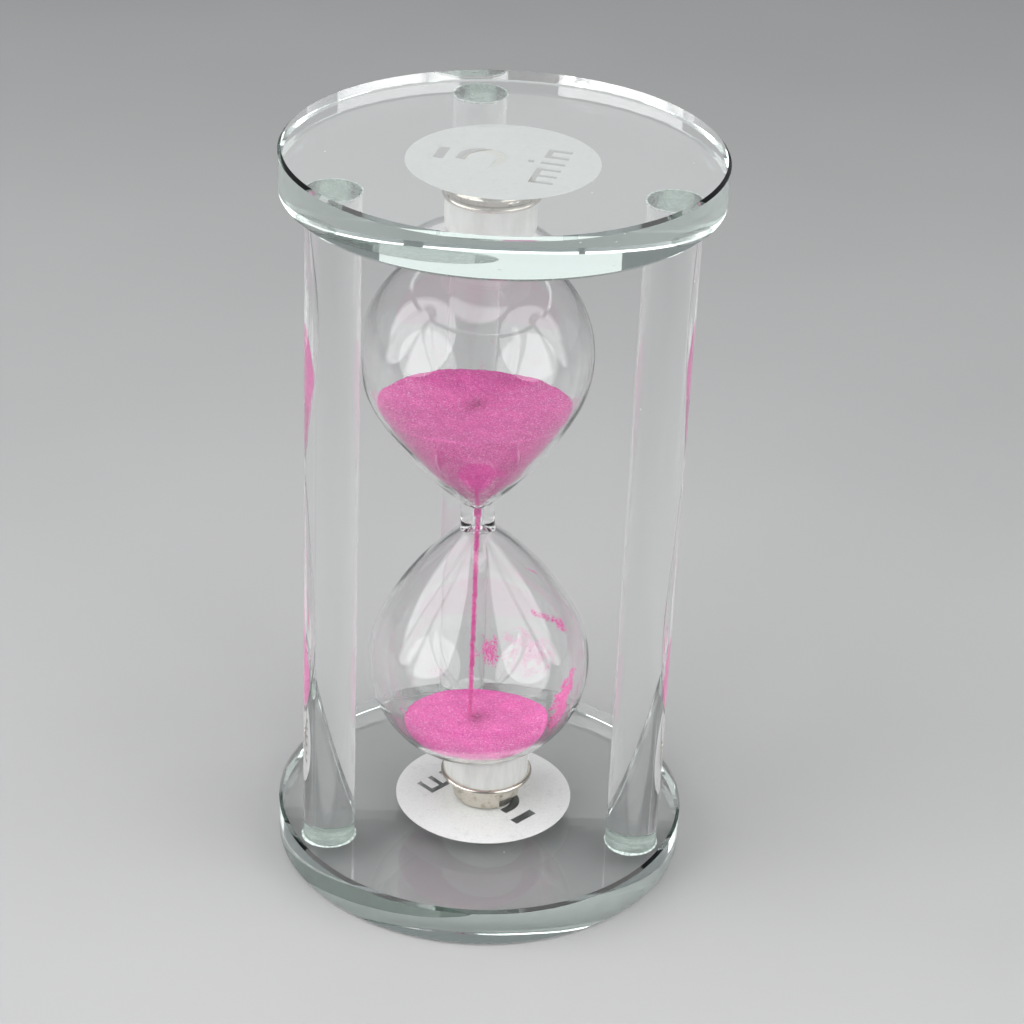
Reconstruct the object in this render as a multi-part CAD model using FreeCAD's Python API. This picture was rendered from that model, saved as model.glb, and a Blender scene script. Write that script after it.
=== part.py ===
import FreeCAD, Part

import os
from math import acos, cos, pi, radians, sin

# Hourglass with a pink sand filling: two crystal discs on three glass rods hold a blown bulb.
# Millimetres, +Z up. The origin is the centre of the face that the hourglass stands on.

# Frame
TOTAL_HEIGHT = 145.0
DISC_DIAMETER = 80.0
DISC_THICKNESS = 8.0
DISC_CHAMFER = 0.6
ROD_DIAMETER = 10.0
ROD_EDGE_MARGIN = 1.6  # from a rod's side to the disc's edge
ROD_ANGLES = {"left": 209.5, "right": -27.0, "back": 98.5}  # set by hand, so unevenly spaced
GLUE_THICKNESS = 0.15
GLUE_FILLET = 0.4  # height and width of the glue squeezed out round a rod's end

# Labels: opaque film discs with the duration cut out of them
LABEL_DIAMETER = 34.8
LABEL_THICKNESS = 0.15
LABEL_CENTRE = {"top": (-0.2, 0.0), "bottom": (0.7, -0.9)}  # stuck on by hand
LABEL_TEXT_UP = {"top": 166.0, "bottom": -45.0}  # where the top of the numeral points
NUMERAL_HEIGHT = 12.9
NUMERAL_WIDTH = 9.0  # of its bowl
NUMERAL_BASE = -0.6  # foot of the numeral above the label's centre line
NUMERAL_STROKE = 1.9
FLAG_WIDTH = 5.4
ARM_LENGTH = 1.8  # from the bowl towards where a stem would be
WORD_HEIGHT = 4.5  # height of a letter without an ascender
WORD_WIDTH = 16.0
WORD_BASE = -10.9
WORD_STROKE = 1.15

# End cups with their soft collars
CUP_CENTRE = {"top": (-1.9, 0.0), "bottom": (1.1, -1.2)}  # glued on by hand, off the axis
CUP_HEIGHT = 6.2
CUP_BASE_RADIUS = 6.5
CUP_BODY_RADIUS = 7.3
CUP_LIP_RADIUS = 8.4
CUP_LIP_HEIGHT = 1.2
CUP_BEAD_RADIUS = 0.5
CUP_WALL = 0.4
CUP_CORNER = 1.0
PAD_RADIUS = 5.0
PAD_THICKNESS = 0.15
COLLAR_RADIUS = 8.3
COLLAR_CLEARANCE = 0.05
COLLAR_CRUSH = 0.8  # how far the collar's rim stands up past the first touch of the dome
COLLAR_BORE_CLEARANCE = 0.4

# Blown bulb: two halves on a narrow waist, each a little different. Stations are distances
# from the waist along the bulb's axis, and angles are between the glass and that axis.
BULB_SHIFT_X = -2.45
BULB_LEAN = 2.1  # degrees, top towards -X
WAIST_BELOW_MIDDLE = 1.2
TIP_HEIGHT = {"bottom": 11.6, "top": 12.4}  # end of each half over the disc's inner face
BELLY_CLEARANCE = {"bottom": 6.8, "top": 6.6}  # from a centred belly to the rods
BELLY_FULLNESS = {"bottom": 0.9213, "top": 0.9633}  # arc of the belly over its radius
HEEL_FULLNESS = {"bottom": 0.787, "top": 0.78}  # arc of the heel over the belly's radius
END_ARC = 49.0
SHOULDER_ANGLE = {"bottom": 25.7, "top": 28.4}  # where the shoulder passes into the belly
HEEL_ANGLE = 45.0  # where the belly passes into the heel
BULB_WALL = 0.9
NECK_RADIUS = 3.25
NECK_FILLET = 0.8
NECK_HALF_LENGTH = {"bottom": 1.75, "top": 1.6}  # of the straight part round the orifice
ORIFICE_RADIUS = 0.75
ORIFICE_FILLET = 1.0
FILLER_RADIUS = 4.0
FILLER_BORE_RADIUS = 2.6
FILLER_LENGTH = 3.6  # of the filling neck, out of the lower end
STOPPER_HEAD_RADIUS = 3.5
STOPPER_HEAD_THICKNESS = 1.0

# Sand
SAND_CLEARANCE = 0.05
SAND_SLOPE = 5.0  # degrees, down towards +Y, as it settled when the timer was turned over
UPPER_SAND_HEIGHT = 23.2  # above the waist
UPPER_DIMPLE_DEPTH = 0.5
UPPER_DIMPLE_RADIUS = 9.0
LOWER_SAND_DEPTH = 4.2  # at the wall, above the inside of the lower end
LOWER_MOUND_HEIGHT = 0.9
STREAM_RADIUS = 0.55

FULL_TURN = 360.0
AXIS_UP = FreeCAD.Vector(0, 0, 1)
AXIS_X = FreeCAD.Vector(1, 0, 0)
AXIS_Y = FreeCAD.Vector(0, 1, 0)
ORIGIN = FreeCAD.Vector(0, 0, 0)
WAIST_HEIGHT = TOTAL_HEIGHT / 2 - WAIST_BELOW_MIDDLE
ROD_CIRCLE_RADIUS = DISC_DIAMETER / 2 - ROD_EDGE_MARGIN - ROD_DIAMETER / 2
FACE_HEIGHT = {"bottom": DISC_THICKNESS, "top": TOTAL_HEIGHT - DISC_THICKNESS}
INWARD = {"bottom": 1, "top": -1}  # the way from each disc to the middle, along Z
ENDS = ("bottom", "top")


def save(shape, name):
    """Writes one node after a check that every solid in it is sound."""
    assert shape.isValid() and shape.Volume > 0, name
    shape.exportStep("parts/" + name + ".step")


def lathe(points):
    """Solid of revolution about Z of a closed outline given as (radius, height) corners."""
    corners = [FreeCAD.Vector(r, 0, z) for r, z in points]
    outline = Part.makePolygon(corners + corners[:1])
    return Part.Face(outline).revolve(ORIGIN, AXIS_UP, FULL_TURN)


def at_end(shape, end, distance=0.0, centre=(0, 0)):
    """Moves a shape made upward from z = 0 to an inner disc face, turned over at the top."""
    placed = shape.copy()
    if end == "top":
        placed.rotate(ORIGIN, AXIS_Y, 180)
    placed.translate(FreeCAD.Vector(*centre, FACE_HEIGHT[end] + INWARD[end] * distance))
    return placed


def disc():
    """Thick crystal disc standing on z = 0, with both rims chamfered."""
    radius = DISC_DIAMETER / 2
    body = Part.makeCylinder(radius, DISC_THICKNESS)
    rims = [e for e in body.Edges if isinstance(e.Curve, Part.Circle)]
    return body.makeChamfer(DISC_CHAMFER, rims)


def rod_centre(side):
    angle = radians(ROD_ANGLES[side])
    return FreeCAD.Vector(ROD_CIRCLE_RADIUS * cos(angle), ROD_CIRCLE_RADIUS * sin(angle), 0)


def rod(side):
    """Solid glass rod between the two glue films."""
    foot = rod_centre(side) + AXIS_UP * (DISC_THICKNESS + GLUE_THICKNESS)
    length = TOTAL_HEIGHT - 2 * (DISC_THICKNESS + GLUE_THICKNESS)
    return Part.makeCylinder(ROD_DIAMETER / 2, length, foot)


def glue_joint(side, end):
    """Film between a rod's end and the disc, with the fillet that was squeezed out."""
    radius = ROD_DIAMETER / 2
    film = lathe([
        (0, 0),
        (radius + GLUE_FILLET, 0),
        (radius, GLUE_THICKNESS + GLUE_FILLET),
        (radius, GLUE_THICKNESS),
        (0, GLUE_THICKNESS),
    ])
    placed = at_end(film, end)
    placed.translate(rod_centre(side))
    return placed


def bar(left, foot, width, height):
    """Rectangle in the plane of the label, as a cutter through the film."""
    return Part.makeBox(width, height, LABEL_THICKNESS, FreeCAD.Vector(left, foot, 0))


def numeral_five():
    """Stencil numeral: a short flag, a gap, and an arm that runs on into an open bowl."""
    top = NUMERAL_BASE + NUMERAL_HEIGHT
    bowl_radius = NUMERAL_WIDTH / 2
    bowl_centre = FreeCAD.Vector(0, NUMERAL_BASE + bowl_radius, 0)
    outer = Part.makeCylinder(bowl_radius, LABEL_THICKNESS, bowl_centre)
    inner = Part.makeCylinder(bowl_radius - NUMERAL_STROKE, LABEL_THICKNESS, bowl_centre)
    mouth_foot = bowl_centre.y - bowl_radius / 2
    mouth = bar(-bowl_radius, mouth_foot, bowl_radius, bowl_centre.y + bowl_radius - mouth_foot)
    flag = bar(-FLAG_WIDTH / 2, top - NUMERAL_STROKE, FLAG_WIDTH, NUMERAL_STROKE)
    arm_foot = bowl_centre.y + bowl_radius - NUMERAL_STROKE
    arm = bar(-ARM_LENGTH, arm_foot, ARM_LENGTH, NUMERAL_STROKE)
    return outer.cut([inner, mouth]).fuse([flag, arm]).removeSplitter()


def word_min():
    """The unit in plain upright strokes: m, i, n."""
    pitch = (WORD_WIDTH - WORD_STROKE) / 5
    left = -WORD_WIDTH / 2
    stems = [bar(left + pitch * i, WORD_BASE, WORD_STROKE, WORD_HEIGHT) for i in range(6)]
    crown = WORD_BASE + WORD_HEIGHT - WORD_STROKE
    arches = [
        bar(left, crown, 2 * pitch + WORD_STROKE, WORD_STROKE),
        bar(left + 4 * pitch, crown, pitch + WORD_STROKE, WORD_STROKE),
    ]
    dot = bar(left + 3 * pitch, WORD_BASE + WORD_HEIGHT + WORD_STROKE, WORD_STROKE, WORD_STROKE)
    return stems[0].fuse(stems[1:] + arches + [dot]).removeSplitter()


def label(end):
    """Round film with the duration cut through it. Each label is read through its own disc."""
    film = Part.makeCylinder(LABEL_DIAMETER / 2, LABEL_THICKNESS)
    cut = film.cut([numeral_five(), word_min()])
    if end == "bottom":
        cut = cut.mirror(ORIGIN, FreeCAD.Vector(1, 0, 0))
    cut.rotate(ORIGIN, AXIS_UP, LABEL_TEXT_UP[end] - 90)
    height = FACE_HEIGHT[end] - (LABEL_THICKNESS if end == "top" else 0)
    cut.translate(FreeCAD.Vector(*LABEL_CENTRE[end], height))
    return cut


def cup():
    """Pressed metal cup, open upward, with a flared lip that ends in a rolled bead."""
    lip_foot = CUP_HEIGHT - CUP_BEAD_RADIUS - CUP_LIP_HEIGHT
    lip_top = CUP_HEIGHT - CUP_BEAD_RADIUS
    shell = lathe([
        (0, 0),
        (CUP_BASE_RADIUS, 0),
        (CUP_BODY_RADIUS, lip_foot),
        (CUP_LIP_RADIUS, lip_top),
        (CUP_LIP_RADIUS - CUP_WALL, lip_top),
        (CUP_BODY_RADIUS - CUP_WALL, lip_foot),
        (CUP_BASE_RADIUS - CUP_WALL, CUP_WALL),
        (0, CUP_WALL),
    ])
    heel = [e for e in shell.Edges if abs(e.BoundBox.ZMax) < 1e-6 and e.BoundBox.XMax > 1]
    shell = shell.makeFillet(CUP_CORNER, heel)
    bead_radius = CUP_LIP_RADIUS + CUP_BEAD_RADIUS - CUP_WALL
    bead = Part.makeTorus(bead_radius, CUP_BEAD_RADIUS, FreeCAD.Vector(0, 0, lip_top))
    return shell.fuse(bead).removeSplitter()


def arc_point(centre, radius, angle):
    """Point of an arc by the angle of its outward normal, 0 at right angles to the axis."""
    station, distance = centre
    return FreeCAD.Vector(
        distance + radius * cos(angle), 0, station + radius * sin(angle)
    )


def arc(centre, radius, start, end):
    middle = (start + end) / 2
    return Part.Arc(*[arc_point(centre, radius, a) for a in (start, middle, end)]).toShape()


def step_back(centre, radius, next_radius, angle):
    """Centre of the arc that carries on at this angle, in line with the last radius."""
    change = radius - next_radius
    return centre[0] + change * sin(angle), centre[1] + change * cos(angle)


def half_length(end):
    """Distance from the waist to the end of a half, on the outside of the glass."""
    return abs(WAIST_HEIGHT - FACE_HEIGHT[end]) - TIP_HEIGHT[end]


def belly_radius(end):
    """Largest outside radius of a half: it keeps its clearance from the rods."""
    return ROD_CIRCLE_RADIUS - ROD_DIAMETER / 2 - BELLY_CLEARANCE[end]


def shoulder_arc(end, belly_centre, belly_arc):
    """Radius of the arc that runs on from the belly so that, on the inside of the glass, it
    touches the fillet of the orifice."""
    angle = radians(-SHOULDER_ANGLE[end])
    along = belly_centre[0] + belly_arc * sin(angle) - NECK_HALF_LENGTH[end]
    across = belly_centre[1] + belly_arc * cos(angle) - ORIFICE_RADIUS - ORIFICE_FILLET
    apart = ORIFICE_FILLET - BULB_WALL
    reach = apart + along * sin(angle) + across * cos(angle)
    return (along ** 2 + across ** 2 - apart ** 2) / (2 * reach)


def arcs_of_half(end):
    """Centre and radius of each arc from the shoulder to the end, with the angles between."""
    heel, shoulder = radians(HEEL_ANGLE), radians(-SHOULDER_ANGLE[end])
    radius = belly_radius(end)
    belly_arc = BELLY_FULLNESS[end] * radius
    heel_arc = HEEL_FULLNESS[end] * radius
    heel_distance = radius - belly_arc + (belly_arc - heel_arc) * cos(heel)
    tip = acos(heel_distance / (END_ARC - heel_arc))
    end_centre = (half_length(end) - END_ARC, 0)
    heel_centre = step_back(end_centre, END_ARC, heel_arc, tip)
    belly_centre = step_back(heel_centre, heel_arc, belly_arc, heel)
    shoulder_radius = shoulder_arc(end, belly_centre, belly_arc)
    shoulder_centre = step_back(belly_centre, belly_arc, shoulder_radius, shoulder)
    centres = (shoulder_centre, belly_centre, heel_centre, end_centre)
    radii = (shoulder_radius, belly_arc, heel_arc, END_ARC)
    return list(zip(centres, radii)), [shoulder, heel, tip, pi / 2]


def half_outline(end, inset, neck_radius, neck_fillet):
    """Tangent edges from the waist to the end of one half, inset from the outside."""
    arcs, angles = arcs_of_half(end)
    shoulder_centre, shoulder_radius = arcs[0]
    reach = shoulder_radius - inset + neck_fillet
    flank = -acos((neck_radius + neck_fillet - shoulder_centre[1]) / reach)
    fillet_centre = (shoulder_centre[0] + reach * sin(flank), neck_radius + neck_fillet)
    neck_end = arc_point(fillet_centre, -neck_fillet, 0)
    edges = [
        Part.LineSegment(FreeCAD.Vector(neck_radius, 0, 0), neck_end).toShape(),
        arc(fillet_centre, -neck_fillet, 0, flank),
    ]
    for (centre, radius), start, stop in zip(arcs, [flank] + angles, angles):
        edges.append(arc(centre, radius - inset, start, stop))
    return edges


def bulb_form(inset, neck_radius, neck_fillet):
    """Solid inside the double outline, upright about the waist."""
    upper = half_outline("top", inset, neck_radius, neck_fillet)
    lower = half_outline("bottom", inset, neck_radius, neck_fillet)
    lower = [edge.mirror(ORIGIN, AXIS_UP) for edge in lower]
    high = FreeCAD.Vector(0, 0, half_length("top") - inset)
    low = FreeCAD.Vector(0, 0, inset - half_length("bottom"))
    spine = Part.LineSegment(low, high).toShape()
    outline = Part.Wire(Part.__sortEdges__(upper + lower + [spine]))
    return Part.Face(outline).revolve(ORIGIN, AXIS_UP, FULL_TURN)


def lean(shape):
    """Stands a form drawn about the waist in its place in the frame."""
    placed = shape.copy()
    placed.rotate(ORIGIN, AXIS_Y, -BULB_LEAN)
    placed.translate(FreeCAD.Vector(BULB_SHIFT_X, 0, WAIST_HEIGHT))
    return placed


def filler_end():
    """Height of the filling neck's mouth below the waist, in the bulb's own frame."""
    return -half_length("bottom") - FILLER_LENGTH


def bulb_outside():
    """Outside of the glass with the filling neck at its lower end."""
    neck_foot = FreeCAD.Vector(0, 0, filler_end())
    filler = Part.makeCylinder(FILLER_RADIUS, FILLER_LENGTH + 2 * BULB_WALL, neck_foot)
    return bulb_form(0, NECK_RADIUS, NECK_FILLET).fuse(filler).removeSplitter()


def glass_bulb():
    hollow = bulb_form(BULB_WALL, ORIFICE_RADIUS, ORIFICE_FILLET)
    bore_foot = FreeCAD.Vector(0, 0, filler_end())
    bore = Part.makeCylinder(FILLER_BORE_RADIUS, FILLER_LENGTH + 2 * BULB_WALL, bore_foot)
    return lean(bulb_outside().cut([hollow, bore]))


def stopper():
    """Plug through the filling neck, level with the inside, and its head outside the mouth."""
    mouth = filler_end()
    depth = FILLER_LENGTH + BULB_WALL
    plug = Part.makeCylinder(FILLER_BORE_RADIUS, depth, FreeCAD.Vector(0, 0, mouth))
    head_foot = FreeCAD.Vector(0, 0, mouth - STOPPER_HEAD_THICKNESS)
    head = Part.makeCylinder(STOPPER_HEAD_RADIUS, STOPPER_HEAD_THICKNESS, head_foot)
    return lean(plug.fuse(head).removeSplitter())


def dome_height(radius):
    """Height of the bulb's end over its tip at this distance from its axis."""
    return END_ARC - (END_ARC ** 2 - radius ** 2) ** 0.5


def cup_foot():
    """Height of a cup's underside over the disc: the label and the pad lie between."""
    return LABEL_THICKNESS + PAD_THICKNESS


def collar_bore(end):
    """Room through a collar for the filling neck and the stopper's head."""
    radius = max(FILLER_RADIUS, STOPPER_HEAD_RADIUS) + COLLAR_BORE_CLEARANCE
    tip = half_length(end) - BULB_WALL
    foot = FreeCAD.Vector(0, 0, tip if end == "top" else -tip - TIP_HEIGHT[end])
    return lean(Part.makeCylinder(radius, TIP_HEIGHT[end], foot))


def collar(end):
    """Soft sleeve that fills the cup and is crushed round the bulb's dome."""
    floor = cup_foot() + CUP_WALL + COLLAR_CLEARANCE
    lip_foot = cup_foot() + CUP_HEIGHT - CUP_BEAD_RADIUS - CUP_LIP_HEIGHT
    lip_top = lip_foot + CUP_LIP_HEIGHT
    top = TIP_HEIGHT[end] + dome_height(COLLAR_RADIUS) + COLLAR_CRUSH
    inside = CUP_WALL + COLLAR_CLEARANCE
    sleeve = lathe([
        (0, floor),
        (CUP_BASE_RADIUS - inside, floor),
        (CUP_BODY_RADIUS - inside, lip_foot),
        (CUP_LIP_RADIUS - inside, lip_top),
        (COLLAR_RADIUS, lip_top + CUP_BEAD_RADIUS),
        (COLLAR_RADIUS, top),
        (0, top),
    ])
    placed = at_end(sleeve, end, centre=CUP_CENTRE[end])
    metal = at_end(cup(), end, cup_foot(), CUP_CENTRE[end])
    return placed.cut([lean(bulb_outside()), collar_bore(end), metal])


def sand_space():
    """Room inside the glass, less the clearance that keeps the grains off it."""
    inset = BULB_WALL + SAND_CLEARANCE
    return lean(bulb_form(inset, ORIFICE_RADIUS - SAND_CLEARANCE, ORIFICE_FILLET))


def settled(rim, middle, dip_radius):
    """Everything under a sand surface that is level at the rim and meets the middle's height
    in a cone of this radius, then slopes as a whole about its own centre."""
    below = lathe([
        (0, -TOTAL_HEIGHT),
        (DISC_DIAMETER, -TOTAL_HEIGHT),
        (DISC_DIAMETER, 0),
        (dip_radius, 0),
        (0, middle - rim),
    ])
    below.rotate(ORIGIN, AXIS_X, -SAND_SLOPE)
    below.translate(FreeCAD.Vector(BULB_SHIFT_X, 0, rim))
    return below


def sand_in_upper_half():
    """Sand that is left, with the shallow dimple over the orifice."""
    surface = WAIST_HEIGHT + UPPER_SAND_HEIGHT
    waist = FreeCAD.Vector(BULB_SHIFT_X, 0, WAIST_HEIGHT)
    above = Part.makeCylinder(DISC_DIAMETER, TOTAL_HEIGHT, waist)
    under = settled(surface, surface - UPPER_DIMPLE_DEPTH, UPPER_DIMPLE_RADIUS)
    return sand_space().common(above).common(under)


def lower_surface():
    """Height of the fallen sand where it meets the glass."""
    return FACE_HEIGHT["bottom"] + TIP_HEIGHT["bottom"] + BULB_WALL + LOWER_SAND_DEPTH


def sand_in_lower_half():
    """Fallen sand with a low mound under the stream, over the stopper."""
    edge = lower_surface()
    top = edge + LOWER_MOUND_HEIGHT
    return sand_space().common(settled(edge, top, belly_radius("bottom")))


def sand_stream():
    """Thin stream that falls plumb from the orifice to the mound."""
    edge = lower_surface()
    foot = FreeCAD.Vector(BULB_SHIFT_X, 0, edge)
    column = Part.makeCylinder(STREAM_RADIUS, WAIST_HEIGHT - edge, foot)
    return column.cut(sand_in_lower_half())


def main():
    os.makedirs("parts", exist_ok=True)
    for end in ENDS:
        foot = AXIS_UP * (FACE_HEIGHT[end] - (DISC_THICKNESS if end == "bottom" else 0))
        body = disc()
        body.translate(foot)
        save(body, end + "_disc")
        save(label(end), end + "_label")
        centre = CUP_CENTRE[end]
        pad = Part.makeCylinder(PAD_RADIUS, PAD_THICKNESS)
        save(at_end(pad, end, LABEL_THICKNESS, centre), end + "_cup_pad")
        save(at_end(cup(), end, cup_foot(), centre), end + "_cup")
        save(collar(end), end + "_collar")
    for side in ROD_ANGLES:
        save(rod(side), "rod_" + side)
        for end in ENDS:
            save(glue_joint(side, end), "glue_" + end + "_" + side)
    save(glass_bulb(), "glass_bulb")
    save(stopper(), "filler_stopper")
    save(sand_in_upper_half(), "upper_sand")
    save(sand_in_lower_half(), "lower_sand")
    save(sand_stream(), "sand_stream")


main()
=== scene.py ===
from math import acos, atan2, cos, hypot, pi, radians, sin, tan

import bmesh
import bpy
import numpy as np
from mathutils import Matrix, Vector, noise


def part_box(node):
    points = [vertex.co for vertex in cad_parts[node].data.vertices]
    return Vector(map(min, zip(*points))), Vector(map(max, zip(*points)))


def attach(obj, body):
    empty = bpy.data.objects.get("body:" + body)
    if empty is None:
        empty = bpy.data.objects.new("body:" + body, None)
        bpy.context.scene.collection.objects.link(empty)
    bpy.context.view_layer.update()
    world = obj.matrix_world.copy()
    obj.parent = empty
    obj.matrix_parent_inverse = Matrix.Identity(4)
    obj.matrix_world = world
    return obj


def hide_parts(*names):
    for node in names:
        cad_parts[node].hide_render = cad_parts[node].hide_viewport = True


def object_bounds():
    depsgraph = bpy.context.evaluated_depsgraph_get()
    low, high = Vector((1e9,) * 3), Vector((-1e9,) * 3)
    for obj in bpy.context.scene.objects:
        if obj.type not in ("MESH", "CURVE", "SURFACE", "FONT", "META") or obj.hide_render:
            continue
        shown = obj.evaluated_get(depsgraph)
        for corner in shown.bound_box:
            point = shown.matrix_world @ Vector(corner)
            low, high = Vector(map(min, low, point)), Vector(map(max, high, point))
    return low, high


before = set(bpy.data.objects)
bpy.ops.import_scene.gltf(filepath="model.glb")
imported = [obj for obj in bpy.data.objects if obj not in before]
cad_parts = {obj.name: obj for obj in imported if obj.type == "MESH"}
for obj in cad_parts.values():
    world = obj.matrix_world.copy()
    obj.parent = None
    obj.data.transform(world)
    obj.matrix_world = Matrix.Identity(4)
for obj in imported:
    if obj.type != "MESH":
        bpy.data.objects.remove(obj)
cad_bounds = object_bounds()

# Metres, +Z up, in the frame of the CAD model. What a CAD node's box gives is read from it.
MM = 0.001
BODY = "root"
ENDS = ("bottom", "top")
SIDES = ("left", "right", "back")
INWARD = {"bottom": 1, "top": -1}  # the way from each disc to the middle, along Z
SEED = 7

# Frame
LABEL_GAP = 0.01 * MM  # air between a label and its disc
COUPLING = 0.03 * MM  # how far a glued rod reaches into its disc, so that no air shows
DISC_CHAMFER = 0.6 * MM
ROD_CHAMFER = 0.2 * MM
FLOOR_GAP = 0.05 * MM
DISC_SEGMENTS = 384
ROUND_SEGMENTS = 192  # of the rods, cups and collars

# Bulb, as in the CAD model
WAIST = Vector((-2.45 * MM, 0, 71.3 * MM))
LEAN = radians(2.1)
BELLY_RADIUS = {"bottom": 21.6 * MM, "top": 21.8 * MM}
HALF_LENGTH = {"bottom": 51.7 * MM, "top": 53.3 * MM}
BELLY_ARC = {"bottom": 19.9 * MM, "top": 21.0 * MM}
HEEL_ARC = 17.0 * MM
END_ARC = 49.0 * MM
SHOULDER_ANGLE = {"bottom": radians(25.7), "top": radians(28.4)}
HEEL_ANGLE = radians(45.0)
NECK_HALF_LENGTH = {"bottom": 1.75 * MM, "top": 1.6 * MM}
NECK_RADIUS = 3.25 * MM
NECK_FILLET = 0.8 * MM
ORIFICE_RADIUS = 0.75 * MM
ORIFICE_FILLET = 1.0 * MM
BULB_WALL = 0.9 * MM
FILLER_RADIUS = 4.0 * MM
FILLER_BORE_RADIUS = 2.6 * MM
FILLER_LENGTH = 3.6 * MM
BULB_SEGMENTS = 240
BULB_FINENESS = 0.65

# Sand
SAND_CLEARANCE = 0.06 * MM
UPPER_LEVEL = 94.5 * MM
LOWER_LEVEL = 24.7 * MM
SAND_SLOPE = tan(radians(5.0))  # down towards +Y
GRAIN = 0.22 * MM

# Cups and collars
CUP_WALL = 0.4 * MM
CUP_LIP_HEIGHT = 1.2 * MM
CUP_BEAD_RADIUS = 0.5 * MM
CUP_CORNER = 1.0 * MM
CUP_BASE_RADIUS = 6.5 * MM
CUP_BODY_RADIUS = 7.3 * MM
CUP_LIP_RADIUS = 8.4 * MM

# Camera: on the axis' side of the object, a little rolled, aimed a little off the middle
CAMERA_ELEVATION = radians(28.912)
CAMERA_DISTANCE = 521.7 * MM
CAMERA_YAW = radians(0.441)
CAMERA_PITCH = radians(-0.075)
CAMERA_ROLL = radians(2.483)
CAMERA_LENS = 97.14  # millimetres on a sensor 36 mm wide


# ---------------------------------------------------------------- node materials

class Shader:
    """A material with one Principled shader and short ways to add nodes to it."""

    def __init__(self, name, **plain):
        self.material = bpy.data.materials.new(name)
        self.material.use_nodes = True
        self.tree = self.material.node_tree
        self.principled = self.tree.nodes["Principled BSDF"]
        self.output = self.tree.nodes["Material Output"]
        for socket, value in plain.items():
            self.principled.inputs[socket.replace("_", " ")].default_value = value

    def add(self, kind, **inputs):
        node = self.tree.nodes.new("ShaderNode" + kind)
        for socket, value in inputs.items():
            self.feed(node.inputs[socket.replace("_", " ")], value)
        return node

    def feed(self, socket, value):
        if isinstance(value, bpy.types.NodeSocket):
            self.tree.links.new(value, socket)
        else:
            socket.default_value = value

    def coordinates(self, stretch=(1, 1, 1)):
        """The piece's own coordinates, in metres, squeezed by stretch along each axis."""
        where = self.add("TexCoord").outputs["Object"]
        return self.add("Mapping", Vector=where, Scale=stretch).outputs["Vector"]

    def noise(self, size, detail=2.0, stretch=(1, 1, 1), roughness=0.5):
        """Noise with features of about this size in metres, 0 to 1."""
        node = self.add(
            "TexNoise", Vector=self.coordinates(stretch), Scale=1 / size, Detail=detail,
            Roughness=roughness,
        )
        return node.outputs["Fac"]

    def cells(self, size, output="Color"):
        """Random cells of this size, for grains and specks."""
        node = self.add("TexVoronoi", Vector=self.coordinates(), Scale=1 / size)
        return node.outputs[output]

    def ramp(self, factor, *stops):
        """Colours or greys by factor: stops are (place, colour or grey)."""
        node = self.add("ValToRGB", Fac=factor)
        elements = node.color_ramp.elements
        while len(elements) < len(stops):
            elements.new(0.5)
        for element, (place, value) in zip(elements, stops):
            element.position = place
            grey = isinstance(value, (int, float))
            element.color = (value, value, value, 1) if grey else (*value, 1)
        return node.outputs["Color"]

    def math(self, operation, a, b=0.0):
        node = self.tree.nodes.new("ShaderNodeMath")
        node.operation = operation
        self.feed(node.inputs[0], a)
        self.feed(node.inputs[1], b)
        return node.outputs[0]

    def mix(self, factor, a, b):
        node = self.tree.nodes.new("ShaderNodeMix")
        node.data_type = "RGBA"
        self.feed(node.inputs[0], factor)
        self.feed(node.inputs[6], a)
        self.feed(node.inputs[7], b)
        return node.outputs[2]

    def drive(self, socket, value):
        self.tree.links.new(value, self.principled.inputs[socket])

    def bump(self, height, distance, strength=1.0):
        """Relief of this depth in metres over the whole range of height."""
        node = self.add("Bump", Height=height, Strength=strength, Distance=distance)
        self.drive("Normal", node.outputs["Normal"])

    def absorb(self, colour, density):
        volume = self.add("VolumeAbsorption", Color=(*colour, 1), Density=density)
        self.tree.links.new(volume.outputs[0], self.output.inputs["Volume"])

    def let_lamps_through(self, tint):
        """Lamps reach what is inside thin glass as straight, faintly tinted light."""
        clear = self.add("BsdfTransparent", Color=(*tint, 1))
        path = self.add("LightPath")
        mix = self.tree.nodes.new("ShaderNodeMixShader")
        self.tree.links.new(path.outputs["Is Shadow Ray"], mix.inputs[0])
        self.tree.links.new(self.principled.outputs[0], mix.inputs[1])
        self.tree.links.new(clear.outputs[0], mix.inputs[2])
        self.tree.links.new(mix.outputs[0], self.output.inputs["Surface"])


def specks(shader, cell, share):
    """1 on a few small round specks of dust, 0 elsewhere. share is how many cells hold one."""
    near = shader.ramp(shader.cells(cell, "Distance"), (0.05, 1.0), (0.09, 0.0))
    chosen = shader.ramp(shader.cells(cell), (1 - share, 0.0), (1 - share + 0.01, 1.0))
    return shader.math("MULTIPLY", near, chosen)


def crystal_material(name, stretch, relief, density):
    """Thick clear glass, green in its depth, with faint smears and a little dust."""
    glass = Shader(name, Transmission_Weight=1.0, IOR=1.52, Base_Color=(1, 1, 1, 1))
    smear = glass.noise(9 * MM, 4.0, stretch)
    dust = specks(glass, 2.6 * MM, 0.10)
    film = glass.ramp(smear, (0.45, 0.0), (0.75, 0.025))
    glass.drive("Roughness", glass.math("ADD", film, glass.math("MULTIPLY", dust, 0.5)))
    glass.drive("Transmission Weight", glass.math("SUBTRACT", 1.0, glass.math("MULTIPLY", dust, 0.6)))
    glass.bump(glass.noise(6 * MM, 1.0, stretch), relief)
    glass.absorb((0.78, 0.93, 0.87), density)
    return glass.material


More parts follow.
